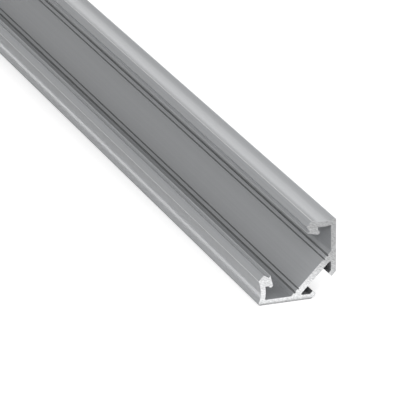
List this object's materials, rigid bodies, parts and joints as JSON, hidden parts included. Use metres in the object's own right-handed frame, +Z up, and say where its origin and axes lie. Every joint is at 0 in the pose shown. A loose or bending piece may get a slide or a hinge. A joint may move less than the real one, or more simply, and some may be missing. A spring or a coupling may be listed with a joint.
{
  "type": "corner led strip profile",
  "caption": "Straight length of extruded corner channel with a slanted seat for a light strip, hooked lips for a snap-in cover and a slot along its corner.",
  "frame": {"origin": "under the middle of the bar, halfway across its section, on the plane that the lower leg rests on", "axes": "+Y along the bar's length, +Z up, +X towards the outer face of the upright leg"},
  "size_m": [0.016, 1, 0.016],
  "materials": {
    "profile": "satin, silver anodised"
  },
  "bodies": {
    "root": {"corner_profile": "profile"}
  },
  "joints": []
}
